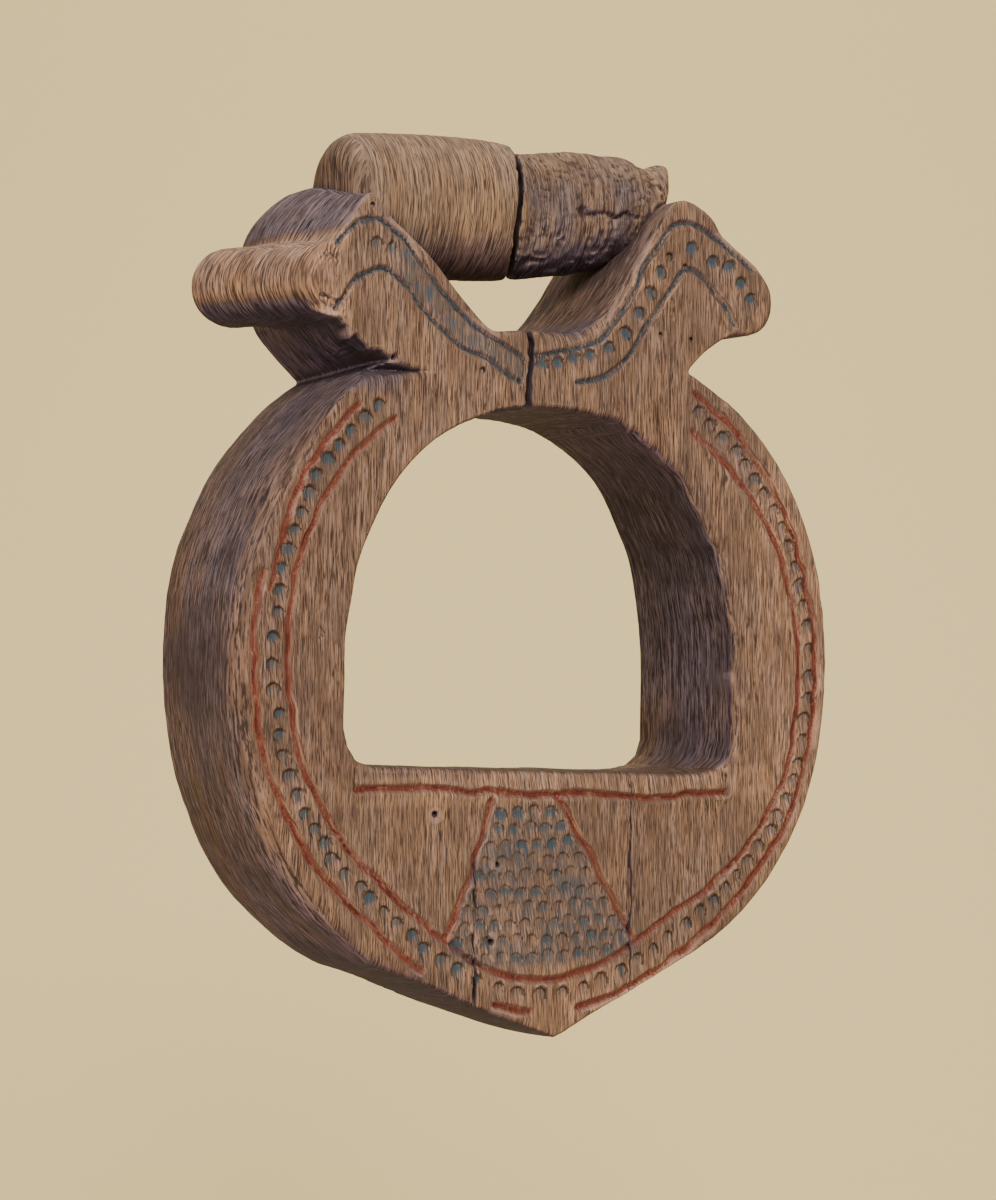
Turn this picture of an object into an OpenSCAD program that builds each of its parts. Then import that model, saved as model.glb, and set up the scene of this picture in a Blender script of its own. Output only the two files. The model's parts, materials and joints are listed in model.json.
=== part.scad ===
/* [Ring] */
// Half the width of the round ring
ring_half_w = 91.5; // [80:0.5:112]
// Half the height of the round ring, without its pointed foot
ring_half_h = 92; // [84:0.5:112]
// How far the ring's centre hangs below the centre of the hanger bar
ring_drop = 129; // [128:0.5:145]
// Fullness of the ring's outline: 2 is an ellipse, more is squarer
ring_fullness = 2.2; // [2:0.05:3]
// How far the blunt point reaches below the ring's own outline
tip_reach = 10; // [4:0.5:16]
// How far the blunt point sits to the right of the middle
tip_shift = 2.5; // [-5:0.5:5]
// Thickness of the carved block from front to back
block_depth = 57; // [47:0.5:70]

/* [Foot opening] */
// Half the width of the foot opening
opening_half_w = 61.5; // [50:0.5:68]
// Height of the foot opening from the tread to the top of the arch
opening_h = 102; // [84:0.5:104]
// Height of the straight sides between the tread and the arch
opening_side_h = 24; // [18:0.5:40]
// Fullness of the arch: 2 is an ellipse, more is squarer
arch_fullness = 2.1; // [2:0.05:3]
// Radius of the two lower corners of the foot opening
opening_corner_r = 8; // [3:0.5:16]
// Wood left in the neck between the arch and the saddle floor
neck_wall = 16; // [12:0.5:24]

/* [Head] */
// Half width of the neck on the left side
neck_left = 51; // [44:0.5:56]
// Half width of the neck on the right side
neck_right = 44; // [40:0.5:56]
// Distance from the crack to the left horn's peak
peak_left = 47; // [42:0.5:52]
// Distance from the crack to the right horn's peak
peak_right = 48; // [42:0.5:52]
// Height of the two peaks above the centre of the hanger bar
peak_rise = 1; // [-6:0.5:8]
// Radius of each rounded peak
peak_r = 7; // [4:0.5:9]
// Distance from the middle to the centre of each outer lobe
lobe_x = 61.5; // [58:0.5:70]
// How far the centre of each outer lobe lies below the hanger bar's centre
lobe_drop = 24.5; // [18:0.5:30]
// Radius of each outer lobe
lobe_r = 10.8; // [8:0.1:13]
// How far the left lobe flares outward at the back
lobe_flare_left = 8; // [0:0.5:12]
// How far the right lobe flares outward at the back
lobe_flare_right = 4; // [0:0.5:12]
// Half width of the saddle between the horns, at the height of the bar's centre
saddle_half_w = 43.5; // [36:0.5:48]
// Radius of the swollen shoulder behind each horn
shoulder_r = 20; // [14:0.5:24]
// How far the centre of the shoulder lies below the hanger bar's centre
shoulder_drop = 15; // [10:0.5:24]
// Distance from the middle to the centre of each shoulder
shoulder_x = 49; // [44:0.5:54]
// Thickness of the carved front face that stands ahead of the shoulders
horn_face_t = 9; // [6:0.5:14]
// How much fatter the roll behind each outer lobe is than the lobe itself
roll_swell = 0.6; // [0.2:0.1:1.5]

/* [Hanger bar] */
// Radius of the hanger bar that the stirrup leather goes round
bar_r = 20; // [14:0.5:22]
// Length of the hanger bar to the left of the crack
bar_left_len = 51; // [44:0.5:58]
// Length of the hanger bar to the right of the crack
bar_right_len = 58; // [44:0.5:62]
// Radius of the rounded edge at each end of the hanger bar
bar_end_r = 7; // [2:0.5:10]

/* [Cracks] */
// Place of the drying crack through the hanger bar and the neck, from the middle
crack_x = -4; // [-8:0.5:8]
// Width of that crack
crack_w = 1.6; // [0.6:0.1:3]
// Place of the left crack in the tread block
tread_crack_left = -22; // [-34:0.5:-12]
// Place of the right crack in the tread block
tread_crack_right = 26.5; // [12:0.5:34]
// How deep the two tread cracks are open from the front
tread_crack_depth = 6; // [2:0.5:15]
// Width of the open part of the two tread cracks
tread_crack_w = 0.8; // [0.4:0.1:2]

/* [Hidden] */
$fn = 64;

// Outline steps, in degrees of each curve
outline_step = 6;
saddle_steps = 8;

front_y = -block_depth / 2;
back_y = block_depth / 2;
ring_z = -ring_drop;
tread_z = ring_z - 30;
// The saddle floor stands on the arch, so the neck keeps its thickness
arch_top_z = tread_z + opening_h;
saddle_floor_z = arch_top_z + neck_wall;
arch_z = tread_z + opening_side_h;
arch_h = arch_top_z - arch_z;
tip_z = ring_z - ring_half_h - tip_reach;
// Angle each way from straight down at which the ring's outline leaves for the point
tip_spread = 30;
lobe_z = -lobe_drop;
peak_z = peak_rise - peak_r;
shoulder_z = -shoulder_drop;
// The saddle's parabola is drawn this much wider than the saddle at the bar's centre
saddle_over = 1.25;
// Cuts run this far past the faces that they open
past = 1;
reach = 400;

function power(v, e) = sign(v) * pow(abs(v), e);

// Point on a rounded outline of half width w, half height h and fullness n
function full_point(a, w, h, n) = [w * power(cos(a), 2 / n), h * power(sin(a), 2 / n)];

function on_circle(c, r, a) = c + r * [cos(a), sin(a)];

// Direction from both circles' centres to the straight line that touches them
function tangent_angle(c1, r1, c2, r2) =
    let (d = c2 - c1)
    atan2(d[1], d[0]) + acos((r1 - r2) / norm(d));

// Height of the ring's outline above its centre at a distance x from the middle
function ring_rise(x) =
    ring_half_h * pow(1 - pow(x / ring_half_w, ring_fullness), 1 / ring_fullness);

// Stands an outline up in X and Z and gives it a thickness from y0 to y1
module upright(y0, y1) {
    translate([0, y1, 0])
        rotate([90, 0, 0])
            linear_extrude(height = y1 - y0)
                children();
}

// The ring is round all the way, but for the two straight runs to its blunt point
module ring_outline(tip_x) {
    polygon(concat(
        [for (a = [tip_spread - 90:outline_step:270 - tip_spread])
            full_point(a, ring_half_w, ring_half_h, ring_fullness) + [0, ring_z]],
        [[tip_x, tip_z]]
    ));
}

module opening_outline() {
    corner_z = tread_z + opening_corner_r;
    corner_x = opening_half_w - opening_corner_r;
    polygon(concat(
        [for (a = [0:outline_step:180])
            full_point(a, opening_half_w, arch_h, arch_fullness) + [0, arch_z]],
        [for (a = [180:15:270])
            on_circle([-corner_x, corner_z], opening_corner_r, a)],
        [for (a = [270:15:360])
            on_circle([corner_x, corner_z], opening_corner_r, a)]
    ));
}

// The saddle is a parabola from its floor up past the horns' peaks, open above
module saddle_outline(middle) {
    rise = -saddle_floor_z;
    half = saddle_over * saddle_half_w;
    top = 2 * rise;
    polygon(concat(
        [for (i = [-saddle_steps:saddle_steps])
            let (s = saddle_over * i / saddle_steps)
            [middle + s * saddle_half_w, saddle_floor_z + rise * s * s]],
        [[middle + half, top], [middle - half, top]]
    ));
}

// One horn with its peak, sloping shoulder and outer lobe, drawn to the right
module horn_outline(neck, peak) {
    lobe = [lobe_x, lobe_z];
    crest = [peak, peak_z];
    slope = tangent_angle(crest, peak_r, lobe, lobe_r);
    polygon(concat(
        [[0, ring_z + ring_half_h / 2]],
        [[neck, ring_z + ring_rise(neck) - past]],
        [for (i = [0:12])
            on_circle(lobe, lobe_r, -100 + (slope + 100) * i / 12)],
        [for (i = [0:8])
            on_circle(crest, peak_r, slope + (140 - slope) * i / 8)],
        [[0, peak_z]]
    ));
}

// The outer lobe is a roll that leans outward as it runs back to its rounded end
module lobe_roll(flare) {
    roll_r = lobe_r + roll_swell;
    start_y = front_y + horn_face_t / 2;
    len = back_y - past - start_y;
    lean = atan(flare / len);
    translate([lobe_x, start_y, lobe_z])
        rotate([-90, 0, -lean])
            rotate_extrude()
                polygon(concat(
                    [[0, 0], [roll_r, 0]],
                    [for (a = [0:15:90])
                        on_circle([roll_r / 3, len - roll_r * 2 / 3], roll_r * 2 / 3, a)],
                    [[0, len]]
                ));
}

// The wood swells behind each carved horn face, where it carries the bar's end
module shoulder(middle) {
    difference() {
        translate([shoulder_x, front_y + horn_face_t, shoulder_z])
            rotate([-90, 0, 0])
                cylinder(r = shoulder_r, h = block_depth - horn_face_t - past);
        upright(front_y, back_y)
            saddle_outline(middle);
    }
}

// One side of the block, drawn to the right: half the ring, half the neck and a horn
module cheek(neck, peak, flare, middle, tread_end, tip_x) {
    split_x = middle + crack_w / 2;
    upright(front_y, back_y)
        intersection() {
            difference() {
                union() {
                    ring_outline(tip_x);
                    horn_outline(neck, peak + middle);
                }
                opening_outline();
                saddle_outline(middle);
            }
            polygon([
                [split_x, reach], [split_x, ring_z], [tread_end, ring_z],
                [tread_end, -reach], [reach, -reach], [reach, reach],
            ]);
        }
    lobe_roll(flare);
    shoulder(middle);
}

// The hanger bar lies along X through the origin, with rounded ends
module whole_bar() {
    len = bar_left_len + bar_right_len;
    inner_r = bar_r - bar_end_r;
    translate([crack_x - bar_left_len, 0, 0])
        rotate([0, 90, 0])
            rotate_extrude()
                polygon(concat(
                    [[0, 0]],
                    [for (a = [270:15:360])
                        on_circle([inner_r, bar_end_r], bar_end_r, a)],
                    [for (a = [0:15:90])
                        on_circle([inner_r, len - bar_end_r], bar_end_r, a)],
                    [[0, len]]
                ));
}

// The open part of a crack in the tread block, cut inward from the front face
module tread_crack(x) {
    translate([x - tread_crack_w / 2, front_y - past, tip_z - past])
        cube([tread_crack_w, tread_crack_depth + past, tread_z - tip_z + 2 * past]);
}

// Everything from x0 to x1
module slab(x0, x1) {
    translate([x0, -reach, -reach])
        cube([x1 - x0, 2 * reach, 2 * reach]);
}

module left_cheek() {
    color([0.46, 0.33, 0.24])
        difference() {
            mirror([1, 0, 0])
                cheek(neck_left, peak_left, lobe_flare_left, -crack_x,
                    -tread_crack_left, -tip_shift);
            whole_bar();
            tread_crack(tread_crack_left);
        }
}

module right_cheek() {
    color([0.50, 0.37, 0.27])
        difference() {
            cheek(neck_right, peak_right, lobe_flare_right, crack_x,
                tread_crack_right, tip_shift);
            whole_bar();
            tread_crack(tread_crack_right);
        }
}

module tread_block() {
    color([0.54, 0.40, 0.30])
        difference() {
            upright(front_y, back_y)
                intersection() {
                    difference() {
                        ring_outline(tip_shift);
                        opening_outline();
                    }
                    translate([tread_crack_left, ring_z - reach])
                        square([tread_crack_right - tread_crack_left, reach]);
                }
            tread_crack(tread_crack_left);
            tread_crack(tread_crack_right);
        }
}

module hanger_bar_left() {
    color([0.52, 0.39, 0.30])
        intersection() {
            whole_bar();
            slab(-reach, crack_x - crack_w / 2);
        }
}

module hanger_bar_right() {
    color([0.57, 0.42, 0.31])
        intersection() {
            whole_bar();
            slab(crack_x + crack_w / 2, reach);
        }
}

left_cheek();
right_cheek();
tread_block();
hanger_bar_left();
hanger_bar_right();
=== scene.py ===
"""Carved wooden stirrup: one cracked block of dry wood, carved and painted on its front face."""

import json
import math

import bpy
import numpy as np
import openvdb
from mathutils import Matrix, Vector


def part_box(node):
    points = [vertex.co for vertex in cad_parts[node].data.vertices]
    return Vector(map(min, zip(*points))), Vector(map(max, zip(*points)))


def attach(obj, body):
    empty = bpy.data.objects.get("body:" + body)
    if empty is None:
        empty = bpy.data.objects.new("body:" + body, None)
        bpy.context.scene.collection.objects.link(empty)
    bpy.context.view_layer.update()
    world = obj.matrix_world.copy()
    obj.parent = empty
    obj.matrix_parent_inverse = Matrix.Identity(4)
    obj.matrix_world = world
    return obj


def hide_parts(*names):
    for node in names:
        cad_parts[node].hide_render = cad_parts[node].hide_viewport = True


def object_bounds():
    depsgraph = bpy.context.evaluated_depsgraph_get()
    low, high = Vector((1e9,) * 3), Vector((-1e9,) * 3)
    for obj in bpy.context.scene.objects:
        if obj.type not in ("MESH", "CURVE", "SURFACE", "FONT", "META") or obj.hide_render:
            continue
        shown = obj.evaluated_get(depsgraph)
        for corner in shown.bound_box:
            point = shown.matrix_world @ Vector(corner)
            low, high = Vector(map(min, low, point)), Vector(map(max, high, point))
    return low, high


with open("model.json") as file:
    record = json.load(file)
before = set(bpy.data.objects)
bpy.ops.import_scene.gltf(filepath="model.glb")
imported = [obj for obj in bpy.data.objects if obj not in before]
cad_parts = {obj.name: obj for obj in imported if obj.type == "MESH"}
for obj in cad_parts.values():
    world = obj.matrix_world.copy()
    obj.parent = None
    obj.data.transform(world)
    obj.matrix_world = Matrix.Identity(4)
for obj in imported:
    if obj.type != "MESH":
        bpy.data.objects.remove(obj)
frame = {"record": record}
cad_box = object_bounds()


# ---------------------------------------------------------------- The blank
# The stirrup starts as a plank of dry hardwood with upright grain, squared to the size
# of the frame. It is held here as a grid of cells in millimetres, fine at the front
# face where the carving is, and every cut below takes wood away from it.

mount = {m["name"]: Vector(m["pos_m"]) * 1000 for m in frame["record"]["mounts"]}
low = Vector(cad_box[0]) * 1000
high = Vector(cad_box[1]) * 1000
half_depth = mount["back_face"].y
tread_z = mount["tread"].z

cell = 0.5
middle_cell, back_cell = 1.8, 0.8
carved_depth, back_depth = 6.0, 4.0
margin = 4 * cell
xs = np.arange(low.x - margin, high.x + margin, cell, dtype=np.float32)
zs = np.arange(low.z - margin, high.z + margin, cell, dtype=np.float32)
ys = np.concatenate([
    np.arange(-half_depth - 2.0, -half_depth + carved_depth, cell),
    np.arange(-half_depth + carved_depth, half_depth - back_depth, middle_cell),
    np.arange(half_depth - back_depth, half_depth + 2.5, back_cell),
]).astype(np.float32)
X, Z = np.meshgrid(xs, zs, indexing="ij")

lattice_size = 48
lattice = np.random.default_rng(11).random((lattice_size,) * 3).astype(np.float32) * 2 - 1


def noise(x, y, z):
    """Smooth random values from -1 to 1 that change over a distance of about 1."""
    total = 0.0
    corners = [np.floor(np.asarray(v, np.float32)) for v in (x, y, z)]
    parts = [np.asarray(v, np.float32) - c for v, c in zip((x, y, z), corners)]
    smooth = [p * p * (3 - 2 * p) for p in parts]
    wx, wy, wz = [(1 - s, s) for s in smooth]
    first = [c.astype(np.int32) % lattice_size for c in corners]
    ix, iy, iz = [(f, (f + 1) % lattice_size) for f in first]
    for i, j, k in np.ndindex(2, 2, 2):
        total = total + lattice[ix[i], iy[j], iz[k]] * wx[i] * wy[j] * wz[k]
    return total


def ramp(value, start, end):
    """0 before start, 1 after end, and smooth between them."""
    t = np.clip((value - start) / (end - start), 0, 1)
    return t * t * (3 - 2 * t)


def loop_distance(points):
    """How far each (x, z) cell is from a closed outline, negative inside it."""
    nearest = np.full(X.shape, 1e9, np.float32)
    inside = np.zeros(X.shape, bool)
    for (ax, az), (bx, bz) in zip(points, np.roll(points, -1, axis=0)):
        dx, dz = bx - ax, bz - az
        along = np.clip(((X - ax) * dx + (Z - az) * dz) / (dx * dx + dz * dz + 1e-9), 0, 1)
        gap = (X - ax - along * dx) ** 2 + (Z - az - along * dz) ** 2
        nearest = np.minimum(nearest, gap)
        if az != bz:
            level = (az > Z) != (bz > Z)
            inside ^= level & (X < ax + (Z - az) * dx / dz)
    return np.where(inside, -1, 1) * np.sqrt(nearest)


def curve(points, closed=False, steps=6):
    """A smooth curve through a few points."""
    p = np.array(points, float)
    if closed:
        p = np.vstack([p[-1:], p, p[:2]])
    else:
        p = np.vstack([2 * p[:1] - p[1:2], p, 2 * p[-1:] - p[-2:-1]])
    out = []
    for a, b, c, d in zip(p, p[1:], p[2:], p[3:]):
        for t in np.arange(steps) / steps:
            out.append(0.5 * (2 * b + (c - a) * t + (2 * a - 5 * b + 4 * c - d) * t * t
                              + (3 * b - a - 3 * c + d) * t ** 3))
    if not closed:
        out.append(p[-2])
    return np.array(out)


def merge(a, b, soft):
    """Joins two solids, with a fillet of about soft between them."""
    share = np.clip(0.5 + 0.5 * (b - a) / soft, 0, 1)
    return b + (a - b) * share - soft * share * (1 - share)


def trim(a, b, radius):
    """What two solids share, with the edge between them rounded to a radius."""
    round_part = np.hypot(np.maximum(radius + a, 0), np.maximum(radius + b, 0))
    return np.minimum(-radius, np.maximum(a, b)) + round_part


hand_wobble = 0.7 * noise(X / 17, 0.5, Z / 17) + 0.25 * noise(X / 5, 3.5, Z / 5)


# ---------------------------------------------------------------- Ring and foot opening
# The foot goes through a D-shaped hole with a flat tread. The ring round it is a little
# squarer than a circle and ends in a blunt point, with its outer edge worn soft.

ring_z = -129
ring_half_w = (high.x - low.x) / 2
ring_half_h = 92
ring_fullness = 2.2
tip = (2.5, low.z)
tip_spread = math.radians(30)
back_growth = 2.8


def ring_point(angle, low_h=ring_half_h):
    """A point on the ring's outline, at an angle from the ring's centre."""
    c, s = math.cos(angle), math.sin(angle)
    half_h = low_h if s < 0 else ring_half_h
    return (ring_half_w * math.copysign(abs(c) ** (2 / ring_fullness), c),
            half_h * math.copysign(abs(s) ** (2 / ring_fullness), s) + ring_z)


def ring_outline(low_h, spread, end):
    """The ring's outline, from its sides down to the blunt point."""
    turns = np.arange(spread - math.pi / 2, 1.5 * math.pi - spread, 0.07)
    return loop_distance([ring_point(a, low_h) for a in turns] + [end])


ring_front = ring_outline(ring_half_h, tip_spread, tip)
ring_back = ring_outline(ring_half_h + back_growth, tip_spread - 0.06, (tip[0] + 1, tip[1] - 2.5))

arch_half_w = 61.0
arch_z = tread_z + 24
arch_h = 78
front_square, back_square = 0.90, 0.84
tread_slope = 1.8


def foot_hole(floor, square):
    """The opening's outline, with its floor at a height and its arch more or less square."""
    around = np.linspace(0, math.pi, 40)
    arch = [(arch_half_w * math.copysign(abs(math.cos(a)) ** square, math.cos(a)),
             arch_h * math.sin(a) ** square + arch_z) for a in around]
    base = [(-61, 14), (-60, 9), (-57.5, 5.5), (-52, 3.2), (-35, 2.0), (0, 0.5), (35, -1.1),
            (50, -1.4), (55.5, -0.6), (59.3, 2.6), (61, 7.5)]
    return loop_distance(arch + [(x, floor + rise) for x, rise in base])


hole_wobble = 0.5 * noise(X / 11, 8.5, Z / 11)
ragged = 0.9 * noise(X / 2.4, 5.5, Z / 7) * ramp(X, 0, 25) * ramp(Z, -165, -140)
hole_front = foot_hole(tread_z, front_square) + hole_wobble + ragged
hole_back = foot_hole(tread_z - tread_slope, back_square) + hole_wobble


# ---------------------------------------------------------------- Horned head
# Above the narrow neck the block is cut to two horns with a round saddle between them.
# Each horn slopes to an outer lobe, and behind the flat carved face its shoulder swells.
# On the left the lobe is a plump roll that runs to the back of the block.

saddle_right = [(38, -2), (34, -9), (29, -17), (24, -25), (18, -32), (9, -38), (-3, -41)]
saddle_left = [(-46, -8), (-38, -15), (-33, -20), (-28, -25.5), (-21, -32.5), (-14, -38), (-4, -41)]
horn_right_front = curve([
    (-3, -70), (20, -60), (38, -54), (44.5, -48.5), (48.5, -43.5), (54, -38.5), (60, -35.5),
    (67, -35), (72, -32.5), (74.2, -27), (73.3, -21), (69, -15.8), (62.5, -11.5), (57.5, -7.5),
    (54, -2.5), (49, 1), (43.5, 2.2)] + saddle_right, closed=True)
horn_right_back = curve([
    (-3, -70), (20, -60), (40, -54), (46, -49), (51, -43), (57, -38), (64, -35.5), (71, -34.5),
    (76, -31), (78, -24), (75, -16), (68, -9), (61, -2.5), (54, 3), (46, 3)] + saddle_right,
    closed=True)
horn_left_front = curve([
    (-3, -70), (-20, -60), (-31, -52.5), (-36, -49.5), (-41, -48.3), (-46, -46), (-52, -43.5),
    (-58, -41), (-62, -36.5), (-67, -33.5), (-69.5, -28), (-69.5, -23), (-67, -18), (-63, -14),
    (-59.5, -9.5), (-56, -4.5), (-52.5, -1.2), (-49.5, -3)] + saddle_left, closed=True)
horn_left_back = curve([
    (-3, -70), (-20, -62), (-40, -55), (-50.5, -50), (-55, -46), (-61, -40), (-65, -34),
    (-67, -25), (-69, -15), (-67, -8), (-61, -0.5), (-54, 4.5), (-48, 3)] + saddle_left,
    closed=True)
head_front = np.minimum(loop_distance(horn_right_front), loop_distance(horn_left_front))
torn_edge = ramp(-X, 36, 43) * ramp(X, -66, -62) * ramp(-Z, 33, 37) * ramp(Z, -52, -49)
torn_fibres = 2.4 * noise(X / 1.7, 2.5, Z / 30) + 2.0 * noise(X / 0.8, 6.5, Z / 20)
torn_fibres = np.minimum(torn_fibres, 1.3)
neck_notch = loop_distance([(-62, -43), (-33.5, -49.2), (-58, -52.5)])
head_back = np.minimum(loop_distance(horn_right_back), loop_distance(horn_left_back))


def left_roll(y):
    """The plump roll behind the left horn's outer lobe, where it crosses the depth y."""
    back = max(0.0, (y + half_depth) / (2 * half_depth))
    x = -59.5 - 14.0 * back
    z = -25.3 + 2.0 * back
    radius = 10.2 + 1.9 * back + 0.4 * math.sin(5 * back)
    around = np.hypot(X - x, (Z - z) * 1.03) - radius
    return trim(around + 0.5 * hand_wobble, np.full_like(X, y - half_depth + 0.3), 5.0)


# ---------------------------------------------------------------- Hanger bar
# The stirrup leather loops round this thick bar, over the slot in the saddle. Its left
# end is rounded. Its right end is chipped on top and runs down into the saddle's wall.

bar_left_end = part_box("hanger_bar_left")[0].x * 1000
bar_right_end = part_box("hanger_bar_right")[1].x * 1000
crack_x = 500 * (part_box("hanger_bar_left")[1].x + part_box("hanger_bar_right")[0].x)
# Each point is an x with the height of the bar's top and of its bottom there.
bar_profile = curve([
    (-60, 17.5, -19.5), (-47, 18.3, -20.5), (-31, 19.0, -21.0), (-14, 19.3, -20.9),
    (-2, 18.8, -20.2), (3, 16.6, -19.6), (9, 16.8, -18.8), (19, 17.3, -17.8), (29, 17.3, -15.8),
    (38.5, 17.3, -13.0), (40.5, 15.2, -12.0), (45, 14.7, -10.0), (51.5, 16.4, -6.5),
    (60, 14.0, -3.0)])
bar_top = np.interp(X, bar_profile[:, 0], bar_profile[:, 1])
bar_bottom = np.interp(X, bar_profile[:, 0], bar_profile[:, 2])
bar_mid = (bar_top + bar_bottom) / 2
bar_half = (bar_top - bar_bottom) / 2
bar_half_y = 19.5

# Knots, burl and the flake raise or cut the right half (grain) and darken it (marks).
bar_marks = np.zeros_like(X)
bar_grain = np.zeros_like(X)
bent_x = X + 2.2 * noise(X / 3.5, 5.5, Z / 3.5)
bent_z = Z + 2.2 * noise(X / 3.5, 7.5, Z / 3.5)
knots = [(2, 3, 2.6), (9.5, 6, 4.2), (3, -8, 3.0), (12, -9.5, 4.0), (24, -8, 3.4), (31, 6, 3.2),
         (19, 11, 2.6), (43, 7, 3.2), (36, -6, 2.6)]
for x, z, size in knots:
    r = np.hypot((bent_x - x) * 1.2, bent_z - z)
    rings = np.cos(2 * math.pi * r / 3.2) * np.exp(-(r / (1.1 * size)) ** 2)
    bar_grain += 0.40 * rings + 0.6 * np.exp(-(r / 1.1) ** 2)
    bar_marks = np.maximum(bar_marks, 1.1 * rings)
burl = 2.2 * noise(X / 6, 10.5, Z / 6) + noise(X / 2.6, 12.5, Z / 2.6)
swirls = np.cos(2 * math.pi * burl) * ramp(X, crack_x + 1, crack_x + 5) * ramp(-X, -50, -44)
bar_grain += 0.30 * swirls
bar_marks = np.maximum(bar_marks, 0.95 * swirls)
flake_line = bent_z + 1.2 + 0.03 * X
flake = ramp(bent_x, 14, 16) * ramp(-bent_x, -38.5, -36) * ramp(flake_line, 0, 1)
flake_edge = np.exp(-(flake_line / 0.7) ** 2) * ramp(bent_x, 14, 17) * ramp(-bent_x, -38, -35)
bar_grain += 1.1 * flake_edge - 0.7 * flake * ramp(-Z, -16, -6)
bar_marks = np.maximum(bar_marks, flake_edge)


def hanger_bar(y):
    """The whole bar, where it crosses the depth y."""
    knotty = ramp(X, crack_x, crack_x + 8)
    rough = knotty * (0.5 * noise(X / 7, y / 7, Z / 7) + 0.35 * noise(X / 3, y / 3, Z / 3))
    rough = rough + bar_grain * ramp(np.float32(-y), 0, 6)
    squash = bar_half_y - 2.5 * knotty
    around = (np.hypot((Z - bar_mid) / bar_half, y / squash) - 1) * bar_half
    around += rough + 0.5 * hand_wobble
    left = bar_left_end + 2.2 - X - 0.03 * (Z + 5) * ramp(Z, -5, 10)
    right = X - bar_right_end + 0.3 + 0.25 * (9 - Z) * ramp(9 - Z, 0, 8) - 0.55 * min(y + 2, 0)
    body = trim(around, left, 7.5)
    return trim(body, right * 0.95, 2.5)


# ---------------------------------------------------------------- Carved front face
# The front is decorated with a knife and a small gouge: a border of thumbnail cuts
# between two red grooves round the ring, a band of blue cuts between two blue lines on
# the head, a red line under the worn edge of the tread, and a panel of scales below it.

relief = 0.7 + 0.35 * noise(X / 23, 6.5, Z / 31) + 0.12 * noise(X / 6, 2.5, Z / 9)
red = np.zeros_like(X)
blue = np.zeros_like(X)
hollow = np.zeros_like(X)
outline = np.zeros_like(X)
shake_x = 0.8 * noise(X / 4.5, 4.5, Z / 4.5)
shake_z = 0.8 * noise(X / 4.5, 7.5, Z / 4.5)
paint_wear = 0.92 + 0.30 * noise(X / 3.5, 13.5, Z / 3.5) + 0.12 * noise(X / 1.2, 14.5, Z / 1.2)


def groove(points, paint, depth=1.2, half_w=0.85, strength=1.0):
    """Cuts a V groove along a line, with its paint in the bottom and a raised lip."""
    line = np.array(points, float)
    x0, z0 = line.min(0) - 5
    x1, z1 = line.max(0) + 5
    cols = slice(*np.searchsorted(xs, [x0, x1]))
    rows = slice(*np.searchsorted(zs, [z0, z1]))
    gx = X[cols, rows] + shake_x[cols, rows]
    gz = Z[cols, rows] + shake_z[cols, rows]
    gap = np.full(gx.shape, 99.0, np.float32)
    for (ax, az), (bx, bz) in zip(line, line[1:]):
        dx, dz = bx - ax, bz - az
        along = np.clip(((gx - ax) * dx + (gz - az) * dz) / (dx * dx + dz * dz + 1e-9), 0, 1)
        gap = np.minimum(gap, np.hypot(gx - ax - along * dx, gz - az - along * dz))
    cut = np.exp(-(gap / half_w) ** 2)
    lip = np.exp(-((gap - 2.0 * half_w) / (0.8 * half_w)) ** 2)
    relief[cols, rows] += depth * (cut - 0.25 * lip)
    hollow[cols, rows] = np.maximum(hollow[cols, rows], cut)
    colour = strength * paint_wear[cols, rows] * np.clip(1 - gap / (1.7 * half_w), 0, 1)
    paint[cols, rows] = np.maximum(paint[cols, rows], colour)


def scoop(x, z, half_w, half_h, turn=0.0, depth=1.0, strength=1.0, ink=1.0):
    """Presses one thumbnail cut: deep under its arched end, shallow at the other."""
    reach = 1.5 * max(half_w, half_h)
    cols = slice(*np.searchsorted(xs, [x - reach, x + reach]))
    rows = slice(*np.searchsorted(zs, [z - reach, z + reach]))
    px = X[cols, rows] - x + 0.5 * shake_x[cols, rows]
    pz = Z[cols, rows] - z + 0.5 * shake_z[cols, rows]
    u = (px * math.cos(turn) + pz * math.sin(turn)) / half_w
    v = (pz * math.cos(turn) - px * math.sin(turn)) / half_h
    r = np.hypot(u, v)
    bowl = np.clip(1 - r ** 6, 0, 1) * (0.5 + 0.5 * np.clip(v, -1, 1))
    arched = ramp(v, -0.55, 0.1)
    rim = np.exp(-((r - 1.25) / 0.2) ** 2) * arched
    relief[cols, rows] += depth * bowl - 0.22 * rim
    line = np.clip(1 - np.abs(r - 1.0) * min(half_w, half_h) / 1.1, 0, 1) * arched
    outline[cols, rows] = np.maximum(outline[cols, rows], ink * line)
    tint = strength * np.clip(1.35 - r * r, 0, 1) * (0.35 + 0.65 * np.clip(v + 0.6, 0, 1))
    blue[cols, rows] = np.maximum(blue[cols, rows], tint)


def border_point(angle, inset):
    """A place on the ring's face, an inset in from its outline, that dips towards the point."""
    x, z = ring_point(angle)
    drop = 8 * max(0.0, math.cos(angle + math.pi / 2)) ** 14
    share = 1 - inset / ring_half_w
    return x * share, (z - ring_z) * share + ring_z - drop


def inset_at(insets, degrees):
    """The inset at an angle, from a few (angle, inset) pairs that run clockwise."""
    return np.interp(-degrees, [-a for a, _ in insets], [i for _, i in insets])


def border_line(insets):
    """A line round the ring, drawn in from its outline by an inset that changes by angle."""
    angles = np.arange(insets[0][0], insets[-1][0] - 1, -3.0)
    return [border_point(math.radians(a), inset_at(insets, a)) for a in angles]


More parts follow.
